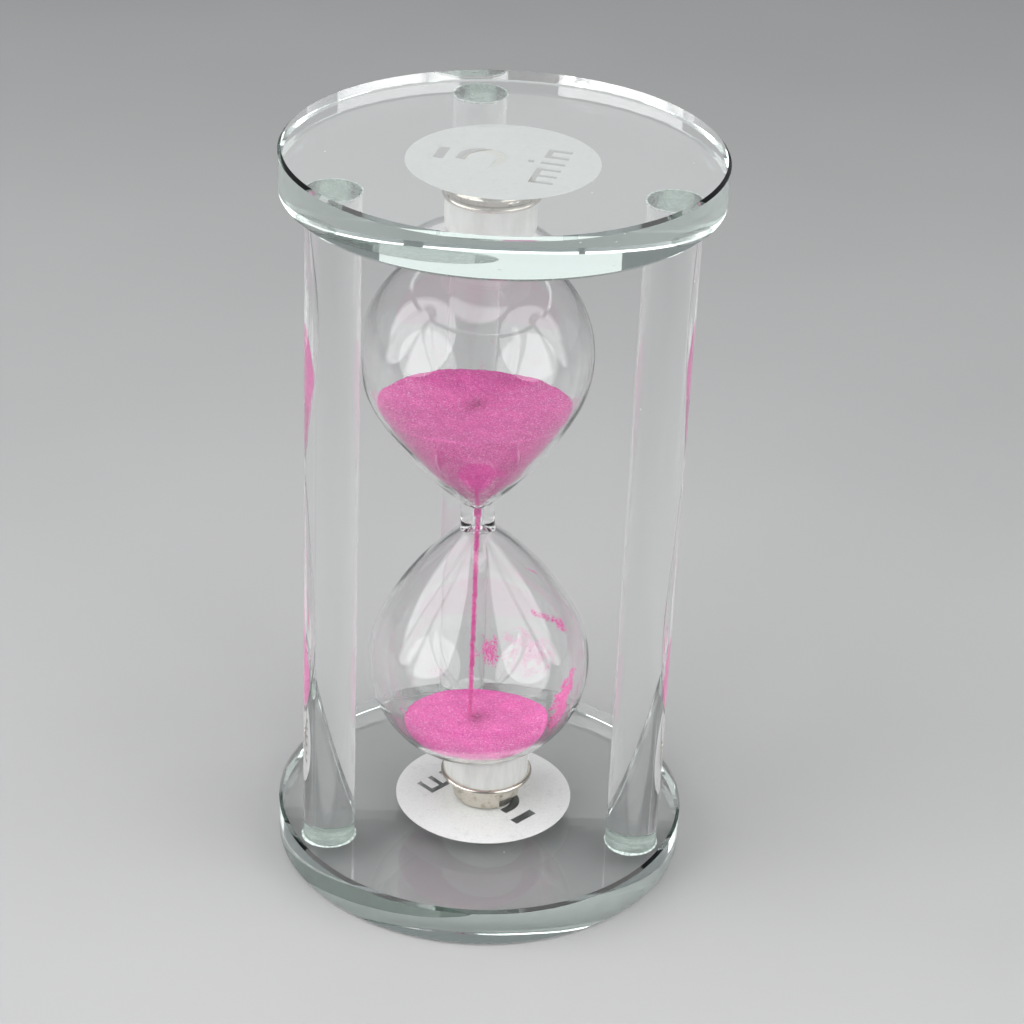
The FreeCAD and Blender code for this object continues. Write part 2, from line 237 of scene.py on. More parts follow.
def blown_glass_material():
    """Thin clear glass, seeded and streaked a little by the blowing."""
    glass = Shader("blown_glass", Transmission_Weight=1.0, IOR=1.48, Base_Color=(1, 1, 1, 1))
    streak = glass.noise(5 * MM, 3.0, (1, 1, 0.35))
    glass.drive("Roughness", glass.ramp(streak, (0.45, 0.0), (0.85, 0.02)))
    glass.bump(streak, 0.03 * MM)
    glass.let_lamps_through((0.94, 0.95, 0.95))
    return glass.material


def glue_film_material(name, clear, milky):
    """Cured glue between ground faces: frosted from clear to milky, full of fine bubbles."""
    glue = Shader(name, Base_Color=(0.80, 0.93, 0.86, 1), Roughness=0.35, IOR=1.5)
    bubble = glue.ramp(glue.cells(0.45 * MM, "Distance"), (0.18, milky), (0.34, clear))
    patch = glue.ramp(glue.noise(2.2 * MM, 4.0), (0.35, 0.6), (0.7, 1.0))
    glue.drive("Alpha", glue.math("MULTIPLY", bubble, patch))
    glue.bump(glue.noise(0.4 * MM), 0.05 * MM)
    return glue.material


def glue_ring_material():
    """Squeezed-out glue round a rod's end: milky, lumpy and glossy."""
    glue = Shader(
        "glue_ring", Transmission_Weight=0.3, IOR=1.5, Coat_Weight=0.6, Coat_Roughness=0.1
    )
    milk = glue.noise(0.8 * MM, 3.0)
    glue.drive("Base Color", glue.ramp(milk, (0.3, (0.72, 0.90, 0.82)), (0.7, (0.93, 0.98, 0.95))))
    glue.drive("Roughness", glue.ramp(milk, (0.3, 0.15), (0.8, 0.45)))
    glue.bump(glue.noise(0.5 * MM, 3.0), 0.12 * MM)
    return glue.material


def label_material():
    """Satin white film with a fine tooth; where it lifted off the glass it is glossier and painted
    darker grey as the silvery reflection of the air gap there.
    """
    film = Shader("label_film", IOR=1.5, Sheen_Weight=0.05)
    lifted_painted_reflection = film.ramp(film.noise(2.4 * MM, 6.0, roughness=0.7), (0.56, 0.0), (0.66, 1.0))
    tone = film.ramp(film.noise(0.35 * MM, 3.0), (0.3, (0.76, 0.77, 0.76)), (0.7, (0.84, 0.85, 0.84)))
    # painted reflection: the lifted patches are painted grey for their silvery look
    film.drive("Base Color", film.mix(film.math("MULTIPLY", lifted_painted_reflection, 0.35), tone, (0.60, 0.61, 0.61, 1)))
    film.drive("Roughness", film.ramp(lifted_painted_reflection, (0.0, 0.5), (1.0, 0.28)))
    film.bump(film.noise(0.25 * MM, 2.0), 0.01 * MM)
    return film.material


def pad_material():
    pad = Shader("adhesive_pad", IOR=1.5)
    mottle = pad.noise(0.8 * MM, 3.0)
    pad.drive("Base Color", pad.ramp(mottle, (0.3, (0.70, 0.69, 0.64)), (0.7, (0.82, 0.81, 0.77))))
    pad.drive("Roughness", pad.ramp(mottle, (0.3, 0.35), (0.7, 0.6)))
    return pad.material


def plated_material():
    """Nickel plate over pressed steel: warm, fine drawing rings, a few dull tarnish spots."""
    plate = Shader("nickel_plate", Metallic=1.0, Anisotropic=0.35)
    ring = plate.noise(0.22 * MM, 2.0, (0.02, 0.02, 1))
    tarnish = plate.ramp(plate.noise(1.6 * MM, 5.0, roughness=0.65), (0.5, 0.0), (0.68, 1.0))
    plate.drive("Base Color", plate.mix(tarnish, (0.70, 0.66, 0.59, 1), (0.48, 0.43, 0.36, 1)))
    plate.drive("Roughness", plate.math(
        "ADD", plate.ramp(ring, (0.3, 0.12), (0.7, 0.24)), plate.math("MULTIPLY", tarnish, 0.14)
    ))
    plate.bump(ring, 0.012 * MM)
    return plate.material


def collar_material():
    """Soft matte white sleeve with a fine skin and faint upright creases, with painted shade darkening
    their hollows.
    """
    soft = Shader("white_collar", Subsurface_Weight=0.15, Sheen_Weight=0.2, IOR=1.45)
    soft.principled.inputs["Subsurface Radius"].default_value = (1 * MM, 0.8 * MM, 0.7 * MM)
    crease = soft.noise(1.5 * MM, 4.0, (1, 1, 0.2))
    # painted shade: the colour goes darker grey where the crease relief is low
    soft.drive("Base Color", soft.ramp(crease, (0.25, (0.72, 0.72, 0.69)), (0.6, (0.85, 0.85, 0.83))))
    soft.drive("Roughness", soft.ramp(crease, (0.2, 0.55), (0.8, 0.8)))
    soft.bump(soft.math("ADD", crease, soft.noise(0.18 * MM)), 0.05 * MM)
    return soft.material


def rubber_material():
    rubber = Shader("stopper_rubber", IOR=1.5)
    grain = rubber.noise(0.3 * MM, 3.0)
    rubber.drive("Base Color", rubber.ramp(grain, (0.3, (0.52, 0.50, 0.46)), (0.7, (0.66, 0.64, 0.60))))
    rubber.drive("Roughness", rubber.ramp(grain, (0.3, 0.6), (0.7, 0.8)))
    rubber.bump(grain, 0.02 * MM)
    return rubber.material


def sand_material():
    """Dyed quartz: each grain has its own pink, a few are pale and glint."""
    sand = Shader("pink_sand", IOR=1.46)
    cell = sand.cells(GRAIN)
    tone = sand.ramp(
        cell, (0.10, (0.72, 0.085, 0.37)), (0.45, (0.90, 0.135, 0.48)),
        (0.80, (0.95, 0.20, 0.57)), (0.97, (0.97, 0.54, 0.79)),
    )
    drift = sand.ramp(sand.noise(3.5 * MM, 3.0), (0.3, 0.86), (0.7, 1.0))
    shade = sand.tree.nodes.new("ShaderNodeMix")
    shade.data_type, shade.blend_type = "RGBA", "MULTIPLY"
    sand.feed(shade.inputs[0], 1.0)
    sand.feed(shade.inputs[6], tone)
    sand.feed(shade.inputs[7], drift)
    sand.drive("Base Color", shade.outputs[2])
    sand.drive("Roughness", sand.ramp(cell, (0.6, 0.85), (0.97, 0.25)))
    sand.bump(sand.math("SUBTRACT", 1.0, sand.cells(GRAIN, "Distance")), 0.08 * MM)
    return sand.material


# ---------------------------------------------------------------- meshes

def piece(name, points, faces, materials, nodes=(), sharp=None, which=None):
    """A mesh in the CAD frame that rides on the body and stands for these CAD nodes."""
    mesh = bpy.data.meshes.new(name)
    mesh.from_pydata([tuple(p) for p in points], [], faces)
    mesh.update()
    mesh.polygons.foreach_set("use_smooth", [True] * len(mesh.polygons))
    if sharp is not None:
        mesh.set_sharp_from_angle(angle=sharp)
    for material in materials:
        mesh.materials.append(material)
    if which is not None:
        mesh.polygons.foreach_set("material_index", which)
    made = bpy.data.objects.new(name, mesh)
    bpy.context.scene.collection.objects.link(made)
    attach(made, BODY)
    if nodes:
        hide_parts(*nodes)
    return made


def ring_faces(segments, rows, flip=False):
    """Faces of a closed form: first point, rows of points in rings, last point."""
    faces = []
    last = 1 + rows * segments
    foot = last - segments
    for i in range(segments):
        j = (i + 1) % segments
        p, q = (j, i) if flip else (i, j)
        faces.append((0, 1 + p, 1 + q))
        faces.append((last, foot + q, foot + p))
        for row in range(rows - 1):
            a, b = 1 + row * segments, 1 + (row + 1) * segments
            if flip:
                faces.append((a + i, a + j, b + j, b + i))
            else:
                faces.append((a + i, b + i, b + j, a + j))
    return faces


def lathe(outline, segments):
    """Points and faces of a closed form turned about Z. outline is (radius, height) from the
    axis at its top, round the outside, back to the axis."""
    turns = np.arange(segments) * 2 * pi / segments
    rings = outline[1:-1]
    points = [(0, 0, outline[0][1])]
    for radius, height in rings:
        points += [(radius * cos(t), radius * sin(t), height) for t in turns]
    points.append((0, 0, outline[-1][1]))
    return np.array(points), ring_faces(segments, len(rings))


def chamfered_bar(radius, foot, head, chamfer):
    """Outline of a round bar or disc, for lathe."""
    return [
        (0, head), (radius - chamfer, head), (radius, head - chamfer),
        (radius, foot + chamfer), (radius - chamfer, foot), (0, foot),
    ]


def box_centre(node):
    low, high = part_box(node)
    return (low + high) / 2, (high - low) / 2


def disc(end, material):
    """Crystal disc. Its inner face stops a hair short of the label on it."""
    low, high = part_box(end + "_disc")
    radius = (high.x - low.x) / 2
    foot, head = low.z, high.z
    if end == "bottom":
        head -= LABEL_GAP
    else:
        foot += LABEL_GAP
    points, faces = lathe(chamfered_bar(radius, foot, head, DISC_CHAMFER), DISC_SEGMENTS)
    return piece(
        end + "_crystal_disc", points, faces, [material],
        [end + "_disc"], sharp=radians(20),
    )


def rod(side, material):
    """Glass rod that meets both discs through its glue."""
    middle, half = box_centre("rod_" + side)
    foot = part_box("bottom_disc")[1].z - COUPLING
    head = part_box("top_disc")[0].z + COUPLING
    points, faces = lathe(chamfered_bar(half.x, foot, head, ROD_CHAMFER), ROUND_SEGMENTS)
    points += (middle.x, middle.y, 0)
    return piece(
        "glass_rod_" + side, points, faces, [material],
        ["rod_" + side], sharp=radians(20),
    )


GLUE_SEGMENTS = 160
# Section of the squeezed-out ring: shares of its reach past the rod and of its height
GLUE_PROFILE = (
    (-0.06, 0.10), (0.55, 0.0), (0.95, 0.03), (0.9, 0.22), (0.55, 0.42), (0.2, 0.75), (-0.06, 1.0)
)


def glue_joint(side, end, film, ring, rng):
    """Bubbly film inside the joint, and the uneven ring that was squeezed out of it."""
    node = "glue_" + end + "_" + side
    middle, half = box_centre(node)
    radius = box_centre("rod_" + side)[1].x
    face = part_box(end + "_disc")[1].z if end == "bottom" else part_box(end + "_disc")[0].z
    way = INWARD[end]
    reach = half.x - radius
    segments = GLUE_SEGMENTS
    turns = np.arange(segments) * 2 * pi / segments
    lumps = sum(
        rng.uniform(0.4, 1.0) / k * np.cos(k * turns + rng.uniform(0, 2 * pi))
        for k in (2, 3, 5, 8, 13, 21)
    )
    lumps = (lumps - lumps.min()) / (lumps.max() - lumps.min())
    points, faces, which = [], [], []
    for out, up in GLUE_PROFILE:
        for turn, lump in zip(turns, lumps):
            swell = 0.35 + 0.65 * lump
            distance = radius + out * reach * swell
            height = up * 2 * half.z * 0.9 * (0.45 + 0.55 * lump)
            points.append((distance * cos(turn), distance * sin(turn), height))
    rows = len(GLUE_PROFILE)
    for row in range(rows):
        below, above = row * segments, (row + 1) % rows * segments
        for i in range(segments):
            j = (i + 1) % segments
            faces.append((below + i, below + j, above + j, above + i))
            which.append(1)
    start = len(points)
    inside = radius - 0.03 * MM
    film_foot, film_top = 0.05 * MM, 0.10 * MM
    film_points, film_faces = lathe(
        [(0, film_top), (inside, film_top), (inside, film_foot), (0, film_foot)], segments
    )
    points += [tuple(p) for p in film_points]
    faces += [tuple(start + i for i in face) for face in film_faces]
    which += [0] * len(film_faces)
    points = np.array(points) * (1, 1, way) + (middle.x, middle.y, face)
    if way < 0:
        faces = [tuple(reversed(f)) for f in faces]
    return piece(
        "glue_joint_" + end + "_" + side, points, faces, [film, ring],
        [node], sharp=radians(50), which=which,
    )


# ---------------------------------------------------------------- the bulb's outline

def arc_point(centre, radius, angle):
    """(distance, station) on an arc, by the angle of its outward normal."""
    station, distance = centre
    return distance + radius * cos(angle), station + radius * sin(angle)


def arc(centre, radius, start, end, count):
    steps = np.linspace(start, end, count)
    return [arc_point(centre, radius, a) for a in steps]


def step_back(centre, radius, next_radius, angle):
    change = radius - next_radius
    return centre[0] + change * sin(angle), centre[1] + change * cos(angle)


def half_outline(end, inset, neck_radius, neck_fillet, fineness=1.0):
    """(distance, station) from the waist to the end of one half, inset from the outside."""
    heel, shoulder, belly = HEEL_ANGLE, -SHOULDER_ANGLE[end], BELLY_ARC[end]
    heel_distance = BELLY_RADIUS[end] - belly + (belly - HEEL_ARC) * cos(heel)
    tip = acos(heel_distance / (END_ARC - HEEL_ARC))
    end_centre = (HALF_LENGTH[end] - END_ARC, 0)
    heel_centre = step_back(end_centre, END_ARC, HEEL_ARC, tip)
    belly_centre = step_back(heel_centre, HEEL_ARC, belly, heel)
    along = belly_centre[0] + belly * sin(shoulder) - NECK_HALF_LENGTH[end]
    across = belly_centre[1] + belly * cos(shoulder) - ORIFICE_RADIUS - ORIFICE_FILLET
    apart = ORIFICE_FILLET - BULB_WALL
    reach = apart + along * sin(shoulder) + across * cos(shoulder)
    radius = (along ** 2 + across ** 2 - apart ** 2) / (2 * reach)
    shoulder_centre = step_back(belly_centre, belly, radius, shoulder)
    reach = radius - inset + neck_fillet
    flank = -acos((neck_radius + neck_fillet - shoulder_centre[1]) / reach)
    fillet_centre = (shoulder_centre[0] + reach * sin(flank), neck_radius + neck_fillet)
    outline = [(neck_radius, 0)] + arc(fillet_centre, -neck_fillet, 0, flank, 12)
    for centre, size, start, stop, count in (
        (shoulder_centre, radius, flank, shoulder, 56), (belly_centre, belly, shoulder, heel, 44),
        (heel_centre, HEEL_ARC, heel, tip, 22), (end_centre, END_ARC, tip, pi / 2, 14),
    ):
        outline += arc(centre, size - inset, start, stop, int(count * fineness))[1:]
    return outline


LEANING = Matrix.Translation(WAIST) @ Matrix.Rotation(-LEAN, 4, "Y")


def leaned(points):
    """Points of the bulb's own upright frame, stood in the hourglass's frame."""
    m = np.array(LEANING)
    return np.asarray(points) @ m[:3, :3].T + m[:3, 3]


def upright(points):
    """The other way: points of the hourglass's frame in the bulb's own."""
    m = np.array(LEANING.inverted())
    return np.asarray(points) @ m[:3, :3].T + m[:3, 3]


def glass_bulb(material):
    """Blown bulb: outside, filling neck and inside in one closed skin, a little wavy."""
    outer = (NECK_RADIUS, NECK_FILLET)
    inner = (ORIFICE_RADIUS, ORIFICE_FILLET)
    fine = BULB_FINENESS
    up = half_outline("top", 0, *outer, fine)
    down = [(r, -s) for r, s in half_outline("bottom", 0, *outer, fine)]
    down = [(r, s) for r, s in down if r > FILLER_RADIUS + 0.3 * MM or s > -HALF_LENGTH["bottom"] / 2]
    mouth = -HALF_LENGTH["bottom"] - FILLER_LENGTH
    root = down[-1][1]
    lip = 0.3 * MM
    neck = [
        (FILLER_RADIUS + 0.1 * MM, root - 0.15 * MM), (FILLER_RADIUS, root - 0.4 * MM),
        (FILLER_RADIUS, mouth + lip), (FILLER_RADIUS - lip, mouth),
        (FILLER_BORE_RADIUS + lip, mouth), (FILLER_BORE_RADIUS, mouth + lip),
    ]
    back = [(r, -s) for r, s in half_outline("bottom", BULB_WALL, *inner, fine)]
    back = [(r, s) for r, s in back if r > FILLER_BORE_RADIUS or s > -HALF_LENGTH["bottom"] / 2]
    bore_top = [(FILLER_BORE_RADIUS, back[-1][1] - 0.1 * MM)]
    inside = half_outline("top", BULB_WALL, *inner, fine)
    outline = up[::-1] + down[1:] + neck + bore_top + back[::-1] + inside[1:]
    points, faces = lathe(outline, BULB_SEGMENTS)
    turn_start = len(up) + len(down) + len(neck)
    rows = np.r_[0, 1 + np.arange((len(points) - 2)) // BULB_SEGMENTS, len(outline) - 1]
    still = FILLER_RADIUS * 1.2  # the necks stay round
    for i, point in enumerate(points):
        inner_side = 40.0 if rows[i] >= turn_start else 0.0  # another stretch of the noise
        away = hypot(point[0], point[1])
        if away < still:
            continue
        ease = min((away - still) / (6 * MM), 1.0)
        wave = noise.noise(Vector(point) / (14 * MM) + Vector((0, 0, inner_side)))
        drawn = Vector((point[0], point[1], point[2] * 0.4)) / (6 * MM)
        streak = noise.noise(drawn + Vector((9, inner_side, 0)))
        shift = ease * (0.09 * wave + 0.03 * streak) * MM
        points[i][:2] *= 1 + (shift - 0.12 * MM * ease * (inner_side == 0)) / away
    return piece("glass_bulb_blown", leaned(points), faces, [material],
                 ["glass_bulb"], sharp=radians(60))


# ---------------------------------------------------------------- sand

def inner_profile(end):
    """Stations and distances of the sand's side against the glass, for interpolation."""
    outline = half_outline(
        end, BULB_WALL + SAND_CLEARANCE, ORIFICE_RADIUS - SAND_CLEARANCE, ORIFICE_FILLET, 3.0
    )
    sign = 1 if end == "top" else -1
    table = sorted((sign * s, r) for r, s in outline)
    return np.array([t[0] for t in table]), np.array([t[1] for t in table])


SEARCH_TOP = {"bottom": -20 * MM, "top": 33 * MM}  # stations over the sand in each half


def wall_station(end, turns, level):
    """Station where the leaned wall crosses the sloping surface, in each direction round."""
    stations, distances = inner_profile(end)
    low = np.full(len(turns), stations.min() * 0.999 if end == "bottom" else 0.0)
    high = np.full(len(turns), SEARCH_TOP[end])
    for _ in range(40):
        middle = (low + high) / 2
        distance = np.interp(middle, stations, distances)
        wall = leaned(np.c_[distance * np.cos(turns), distance * np.sin(turns), middle])
        under = wall[:, 2] + SAND_SLOPE * wall[:, 1] < level
        low = np.where(under, middle, low)
        high = np.where(under, high, middle)
    return (low + high) / 2


def sand_body(name, node, end, level, surface, material, rng, segments, top_rows, side_rows):
    """Loose sand in one half: an uneven surface, and sides that lie against the glass."""
    turns = np.arange(segments) * 2 * pi / segments
    stations, distances = inner_profile(end)
    edge = wall_station(end, turns, level)
    edge_distance = np.interp(edge, stations, distances)
    rim = leaned(np.c_[edge_distance * np.cos(turns), edge_distance * np.sin(turns), edge])
    middle = rim.mean(0)
    rows = []
    for t in np.linspace(0, 1, top_rows + 1)[1:]:
        ring = middle + (rim - middle) * t
        ring[:, 2] = [
            level - SAND_SLOPE * p[1] + surface(p[0] - middle[0], p[1] - middle[1], t) for p in ring
        ]
        rows.append(ring)
    if end == "top":
        foot = np.zeros(segments)
    else:
        foot = np.full(segments, stations.min())
    for t in np.linspace(0, 1, side_rows + 1)[1:]:
        fall = 1 - (1 - t) ** 1.6 if end == "bottom" else t
        station = edge * (1 - fall) + foot * fall
        distance = np.interp(station, stations, distances)
        rows.append(leaned(np.c_[distance * np.cos(turns), distance * np.sin(turns), station]))
    rows = np.array(rows)
    jitter = rng.normal(0, 1, rows.shape) * 0.035 * MM
    jitter[top_rows:] *= 0.45
    jitter[-2:] = 0
    inward = rows - rows.mean(axis=(0, 1))
    inward /= np.linalg.norm(inward, axis=2, keepdims=True) + 1e-9
    rows = rows + jitter - inward * 0.04 * MM
    centre = np.array([[middle[0], middle[1], level + surface(0, 0, 0)]])
    tip = rows[-1].mean(0)[None]
    points = np.vstack([centre, rows.reshape(-1, 3), tip])
    faces = ring_faces(segments, len(rows))
    return piece(name, points, faces, [material], [node])


def upper_surface(x, y, t):
    """Height over the level: a faint dimple over the orifice, low drifts, a crumbled rim."""
    away = hypot(x, y)
    dimple = -0.3 * MM * max(1 - away / (8 * MM), 0) ** 1.5
    drift = 0.30 * MM * noise.noise(Vector((x, y, 0)) / (9 * MM))
    rim = 0.30 * MM * t ** 8 * noise.noise(Vector((x, y, 30 * MM)) / (2.5 * MM))
    return dimple + drift + rim


def lower_surface(x, y, t):
    """Low mound under the stream, banked up against the glass on one side."""
    away = hypot(x, y)
    mound = 0.7 * MM * max(1 - away / (15 * MM), 0)
    turn = atan2(y, x)
    bank = 1.8 * MM * t ** 5 * max(cos(turn - radians(8)), 0) ** 7
    drift = 0.2 * MM * noise.noise(Vector((x, y, 7 * MM)) / (6 * MM))
    return mound + bank + drift


def grains(name, places, sizes, material, rng, nodes=()):
    """Many separate grains, each a small lumpy crystal, as one piece."""
    seed = bmesh.new()
    bmesh.ops.create_icosphere(seed, subdivisions=1, radius=1)
    shape = np.array([v.co for v in seed.verts])
    corners = np.array([[v.index for v in f.verts] for f in seed.faces])
    seed.free()
    points, faces = [], []
    for i, (place, size) in enumerate(zip(places, sizes)):
        lumpy = shape * size * rng.uniform(0.7, 1.15, (len(shape), 1)) * rng.uniform(0.75, 1.2, 3)
        points.append(lumpy + place)
        faces.append(corners + i * len(shape))
    return piece(name, np.vstack(points), [tuple(f) for f in np.vstack(faces).tolist()],
                 [material], nodes)


def sand_stream(material, rng):
    """Falling stream: grains crowded round a plumb line that thins and scatters as it falls."""
    low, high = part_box("sand_stream")
    middle = (low + high) / 2
    count = 4200
    fall = rng.uniform(0, 1, count)
    height = high.z - fall * (high.z - low.z)
    spread = (0.34 - 0.12 * np.minimum(fall * 8, 1)) * MM
    places = np.c_[
        middle.x + rng.normal(0, 1, count) * spread,
        middle.y + rng.normal(0, 1, count) * spread,
        height,
    ]
    limit = (high.x - low.x) / 2 * 0.85
    away = np.hypot(places[:, 0] - middle.x, places[:, 1] - middle.y)
    pull = np.minimum(1, limit / np.maximum(away, 1e-9))
    places[:, 0] = middle.x + (places[:, 0] - middle.x) * pull
    places[:, 1] = middle.y + (places[:, 1] - middle.y) * pull
    return grains("falling_sand", places, rng.uniform(0.07, 0.13, count) * MM, material, rng,
                  ["sand_stream"])


# Patches of grains that cling to the inside of the glass: direction round the bulb, station
# from the waist, half the patch's size in each, share kept, size of a grain, count
CLINGING = (
    (radians(85), -42.0 * MM, radians(8), 3.2 * MM, 1.0, 0.11 * MM, 1300),
    (radians(58), -40.6 * MM, radians(21), 4.6 * MM, 1.0, 0.06 * MM, 3800),
    (radians(53), -32.2 * MM, radians(8), 1.0 * MM, 0.9, 0.10 * MM, 360),
    (radians(39), -32.0 * MM, radians(8), 1.5 * MM, 1.0, 0.10 * MM, 480),
    (radians(46), -18.9 * MM, radians(9), 0.5 * MM, 0.9, 0.09 * MM, 130),
    (radians(-8), -46.0 * MM, radians(14), 1.6 * MM, 1.1, 0.12 * MM, 700),
    (radians(6), -44.6 * MM, radians(15), 2.2 * MM, 1.2, 0.12 * MM, 1900),
    (radians(14), -42.4 * MM, radians(9), 2.4 * MM, 1.1, 0.12 * MM, 1100),
    (radians(16), -39.4 * MM, radians(4), 2.0 * MM, 0.8, 0.11 * MM, 200),
    (radians(176), -45.4 * MM, radians(5), 1.0 * MM, 0.6, 0.09 * MM, 90),
    (radians(122), -44.8 * MM, radians(9), 1.4 * MM, 0.5, 0.08 * MM, 160),
    (radians(90), -36.0 * MM, radians(180), 12.0 * MM, 0.2, 0.07 * MM, 1600),
    (radians(105), 25.0 * MM, radians(60), 4.0 * MM, 0.25, 0.08 * MM, 420),
)


def clinging_sand(material, rng):
    places, sizes = [], []
    for turn, station, turn_reach, station_reach, share, size, count in CLINGING:
        stations, distances = inner_profile("top" if station > 0 else "bottom")
        away = rng.uniform(0, 1, count) ** 0.55
        way = rng.uniform(0, 2 * pi, count)
        turns = turn + turn_reach * away * np.cos(way)
        levels = station + station_reach * away * np.sin(way)
        clumped = np.array([
            noise.noise(Vector((t * 12, s / (1.6 * MM), turn))) for t, s in zip(turns, levels)
        ])
        chance = share * (1.15 - away) + 1.1 * clumped
        keep = (rng.uniform(0, 1, count) < chance) & (levels > -HALF_LENGTH["bottom"] * 0.91)
        turns, levels = turns[keep], levels[keep]
        distance = np.interp(levels, stations, distances) - 0.06 * MM
        places.append(leaned(np.c_[distance * np.cos(turns), distance * np.sin(turns), levels]))
        sizes.append(size * rng.uniform(0.6, 1.3, len(levels)))
    return grains("clinging_sand", np.vstack(places), np.hstack(sizes), material, rng)


# ---------------------------------------------------------------- cups and collars

def cup(end, material):
    """Pressed cup with rounded bends and a rolled bead."""
    middle, half = box_centre(end + "_cup")
    height = 2 * half.z
    bead = CUP_BEAD_RADIUS
    lip_top = height - bead
    lip_foot = lip_top - CUP_LIP_HEIGHT
    wall = CUP_WALL
    bead_radius = CUP_LIP_RADIUS + bead - wall
    corner = [
        (CUP_BASE_RADIUS - CUP_CORNER + CUP_CORNER * sin(a), CUP_CORNER - CUP_CORNER * cos(a))
        for a in np.linspace(0, pi / 2 * 0.9, 8)
    ]
    bend = [
        (CUP_BODY_RADIUS - 0.02 * MM, lip_foot - 0.4 * MM),
        (CUP_BODY_RADIUS + 0.12 * MM, lip_foot + 0.1 * MM),
        (CUP_BODY_RADIUS + 0.5 * MM, lip_foot + 0.6 * MM),
    ]
    roll = [
        (bead_radius + bead * sin(a), lip_top - bead * cos(a))
        for a in np.linspace(-0.15 * pi, 1.35 * pi, 20)
    ]
    inside = [
        (CUP_LIP_RADIUS - wall - 0.05 * MM, lip_top - 0.1 * MM),
        (CUP_BODY_RADIUS - wall + 0.1 * MM, lip_foot + 0.2 * MM),
        (CUP_BODY_RADIUS - wall, lip_foot - 0.3 * MM),
        (CUP_BASE_RADIUS - wall, wall + CUP_CORNER * 0.6),
        (CUP_BASE_RADIUS - wall - CUP_CORNER * 0.5, wall),
    ]
    outline = [(0, 0)] + corner + bend + roll + inside + [(0, wall)]
    points, faces = lathe(outline, ROUND_SEGMENTS)
    faces = [tuple(reversed(f)) for f in faces]
    centre = (middle.x, middle.y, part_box(end + "_cup")[0].z)
    if end == "top":
        points = points * (1, 1, -1)
        faces = [tuple(reversed(f)) for f in faces]
        centre = (middle.x, middle.y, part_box(end + "_cup")[1].z)
    return piece(end + "_plated_cup", points + centre, faces, [material],
                 [end + "_cup"], sharp=radians(50))


def dome_height(end, x, y):
    """World height of the bulb's outside over a point of the plan, at one end."""
    centre = leaned([[0, 0, (1 if end == "top" else -1) * (HALF_LENGTH[end] - END_ARC)]])[0]
    rise = (END_ARC ** 2 - (x - centre[0]) ** 2 - (y - centre[1]) ** 2) ** 0.5
    return centre[2] + (rise if end == "top" else -rise)


def collar(end, material):
    """Soft sleeve squeezed between cup and bulb: it bulges a little, more on the left."""
    low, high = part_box(end + "_collar")
    middle = box_centre(end + "_cup")[0]
    way = INWARD[end]
    foot = low.z if end == "bottom" else high.z
    radius = (high.x - low.x) / 2
    cup_radius = CUP_BODY_RADIUS - CUP_WALL - 0.15 * MM
    cup_low, cup_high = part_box(end + "_cup")
    lip = abs((cup_high.z if end == "bottom" else cup_low.z) - foot)
    segments, rise_rows, seat_rows = ROUND_SEGMENTS, 30, 16
    turns = np.arange(segments) * 2 * pi / segments
    points = [(middle.x, middle.y, foot)]
    base = CUP_BASE_RADIUS - CUP_WALL - 0.15 * MM
    shoulder = lip - CUP_LIP_HEIGHT - CUP_BEAD_RADIUS - 0.1 * MM
    for distance, height in ((base, 0), (cup_radius, shoulder)):
        points += [
            (middle.x + distance * cos(t), middle.y + distance * sin(t), foot + way * height)
            for t in turns
        ]
    start = lip - CUP_BEAD_RADIUS
    gap = 0.05 * MM
    tops = np.array([
        abs(dome_height(end, middle.x + radius * cos(t), middle.y + radius * sin(t)) - foot) - gap
        for t in turns
    ])
    for u in np.linspace(0, 1, rise_rows):
        for turn, top in zip(turns, tops):
            squeeze = max(cos(turn - pi), 0)
            belly = (0.25 * MM * squeeze + 0.05 * MM) * sin(pi * u) ** 0.8
            round_top = 0.5 * MM * max(u - 0.85, 0) / 0.15 * max(u - 0.85, 0) / 0.15
            crease = 0.05 * MM * noise.noise(Vector((cos(turn) * 4, sin(turn) * 4, u)))
            distance = radius * 0.985 + belly + crease - round_top
            height = start + (top - start) * u
            x, y = middle.x + distance * cos(turn), middle.y + distance * sin(turn)
            points.append((x, y, foot + way * height))
    for share in np.linspace(0.93, 0.05, seat_rows):
        for turn in turns:
            x, y = middle.x + radius * share * cos(turn), middle.y + radius * share * sin(turn)
            points.append((x, y, dome_height(end, x, y) - way * gap))
    points.append((middle.x, middle.y, dome_height(end, middle.x, middle.y) - way * gap))
    faces = ring_faces(segments, 2 + rise_rows + seat_rows, flip=True)
    if way < 0:
        faces = [tuple(reversed(f)) for f in faces]
    return piece(end + "_soft_collar", points, faces, [material],
                 [end + "_collar"], sharp=radians(60))


# ---------------------------------------------------------------- stage

def camera():
    """From above and in front, aimed at the middle of the axis, with a slight roll."""
    low, high = cad_bounds
    target = Vector((0, 0, (low.z + high.z) / 2))
    ahead = Vector((0, cos(CAMERA_ELEVATION), -sin(CAMERA_ELEVATION)))
    right = Vector((1, 0, 0))
    above = right.cross(ahead)
    place = target - ahead * CAMERA_DISTANCE
    ahead = (ahead + right * tan(CAMERA_YAW) + above * tan(CAMERA_PITCH)).normalized()
    level = ahead.cross(Vector((0, 0, 1))).normalized()
    top = level.cross(ahead)
    across = level * cos(CAMERA_ROLL) + top * sin(CAMERA_ROLL)
    upward = top * cos(CAMERA_ROLL) - level * sin(CAMERA_ROLL)
    data = bpy.data.cameras.new("camera")
    data.lens = CAMERA_LENS
    data.sensor_width = 36
    data.clip_start = 0.01
    made = bpy.data.objects.new("camera", data)
    bpy.context.scene.collection.objects.link(made)
    turn = Matrix((across, upward, -ahead)).transposed().to_4x4()
    made.matrix_world = Matrix.Translation(place) @ turn
    bpy.context.scene.camera = made


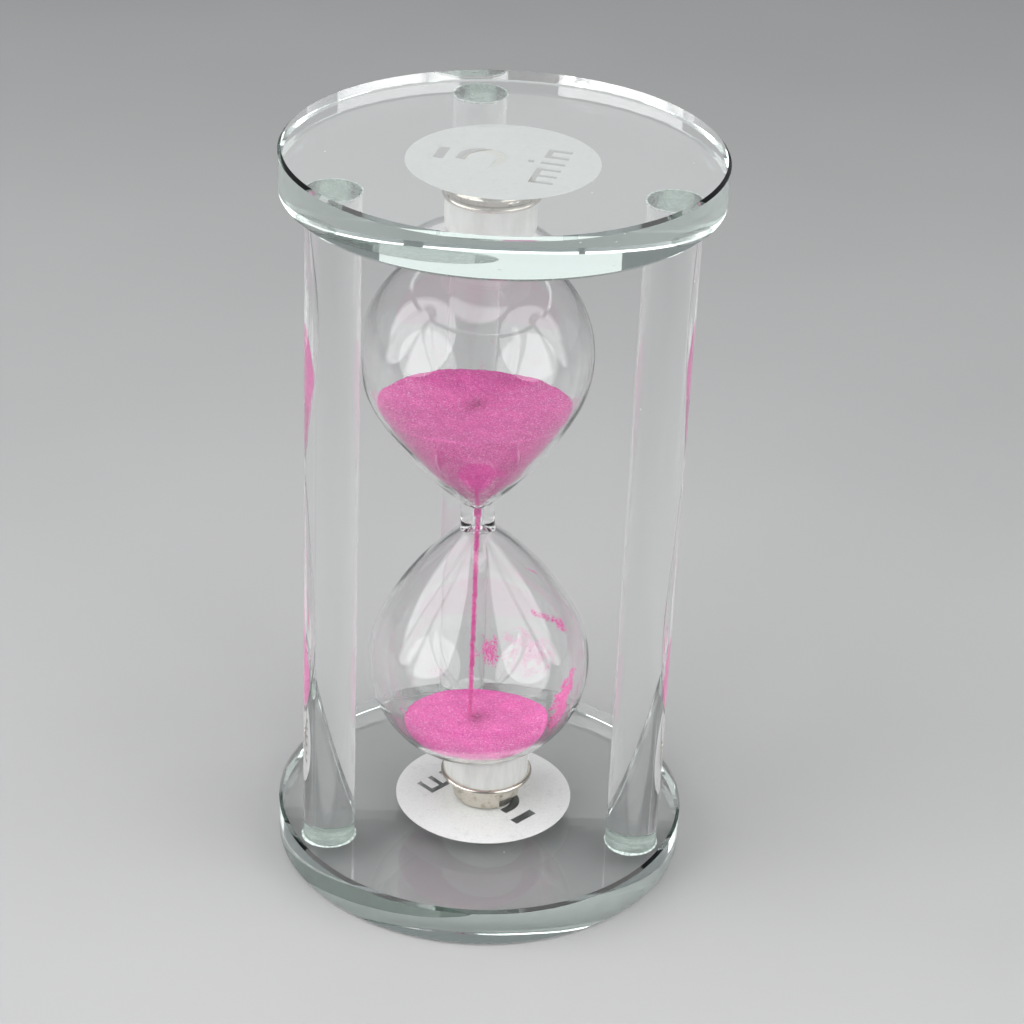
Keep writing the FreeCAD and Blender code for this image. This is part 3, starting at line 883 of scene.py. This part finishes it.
def floor():
    """Pale, even, faintly satin ground that the hourglass stands on."""
    size = 3.0
    mesh = bpy.data.meshes.new("floor")
    corners = [(-size, -size), (size, -size), (size, size), (-size, size)]
    mesh.from_pydata([(x, y, -FLOOR_GAP) for x, y in corners], [], [(0, 1, 2, 3)])
    paper = Shader("floor_paper", IOR=1.45)
    tone = paper.noise(120 * MM, 2.0)
    paper.drive("Base Color", paper.ramp(tone, (0.3, 0.42), (0.7, 0.445)))
    paper.principled.inputs["Roughness"].default_value = 0.65
    mesh.materials.append(paper.material)
    made = bpy.data.objects.new("floor", mesh)
    bpy.context.scene.collection.objects.link(made)


def softbox(name, bearing, elevation, distance, width, height, radiance, shape="ELLIPSE"):
    """Lamp that faces the middle of the hourglass. Radiance is as seen in a mirror."""
    way = Vector((cos(bearing) * cos(elevation), sin(bearing) * cos(elevation), sin(elevation)))
    data = bpy.data.lights.new(name, "AREA")
    data.shape = shape
    data.size, data.size_y = width, height
    area = width * height * (pi / 4 if shape == "ELLIPSE" else 1)
    data.energy = radiance * pi * area
    made = bpy.data.objects.new(name, data)
    made.visible_camera = False
    bpy.context.scene.collection.objects.link(made)
    low, high = cad_bounds
    place = (low + high) / 2 + way * distance
    made.matrix_world = Matrix.Translation(place) @ way.to_track_quat("Z", "Y").to_matrix().to_4x4()


def lights():
    """Two large softboxes at the sides, one overhead and a panel behind, in an even room."""
    softbox("softbox_left", radians(-158), radians(30), 0.50, 0.70, 0.70, 2.3)
    softbox("softbox_right", radians(-26), radians(28), 0.50, 0.66, 0.66, 1.9)
    softbox("panel_back", radians(90), radians(24), 1.10, 0.80, 0.34, 0.60, "RECTANGLE")
    softbox("softbox_above", radians(-90), radians(82), 0.95, 0.80, 0.80, 1.9)
    world = bpy.data.worlds.new("room")
    world.use_nodes = True
    world.node_tree.nodes["Background"].inputs["Color"].default_value = (0.80, 0.83, 0.86, 1)
    world.node_tree.nodes["Background"].inputs["Strength"].default_value = 0.24
    bpy.context.scene.world = world
    scene = bpy.context.scene
    scene.view_settings.view_transform = "Standard"
    scene.view_settings.exposure = 0.25
    scene.cycles.max_bounces = 32
    scene.cycles.transmission_bounces = 28
    scene.cycles.transparent_max_bounces = 32
    scene.cycles.glossy_bounces = 12


def repaint(node, material):
    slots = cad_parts[node].data.materials
    slots.clear()
    slots.append(material)


def main():
    camera()
    floor()
    lights()
    rng = np.random.default_rng(SEED)
    disc_glass = crystal_material("crystal_disc", (1, 1, 1), 0.002 * MM, 9.0)
    rod_glass = crystal_material("crystal_rod", (1, 1, 0.06), 0.006 * MM, 4.0)
    for end in ENDS:
        disc(end, disc_glass)
    for side in SIDES:
        rod(side, rod_glass)
    films = {
        "bottom": glue_film_material("glue_film_bottom", 0.75, 1.0),
        "top": glue_film_material("glue_film_top", 0.35, 0.9),
    }
    ring = glue_ring_material()
    for side in SIDES:
        for end in ENDS:
            glue_joint(side, end, films[end], ring, rng)
    label, pad = label_material(), pad_material()
    plate, soft = plated_material(), collar_material()
    for end in ENDS:
        repaint(end + "_label", label)
        repaint(end + "_cup_pad", pad)
        cup(end, plate)
        collar(end, soft)
    repaint("filler_stopper", rubber_material())
    glass_bulb(blown_glass_material())
    sand = sand_material()
    sand_body(
        "upper_sand_bed", "upper_sand", "top", UPPER_LEVEL, upper_surface, sand, rng, 420, 95, 110
    )
    sand_body(
        "lower_sand_bed", "lower_sand", "bottom", LOWER_LEVEL, lower_surface, sand, rng, 380, 90, 50
    )
    sand_stream(sand, rng)
    clinging_sand(sand, rng)


main()
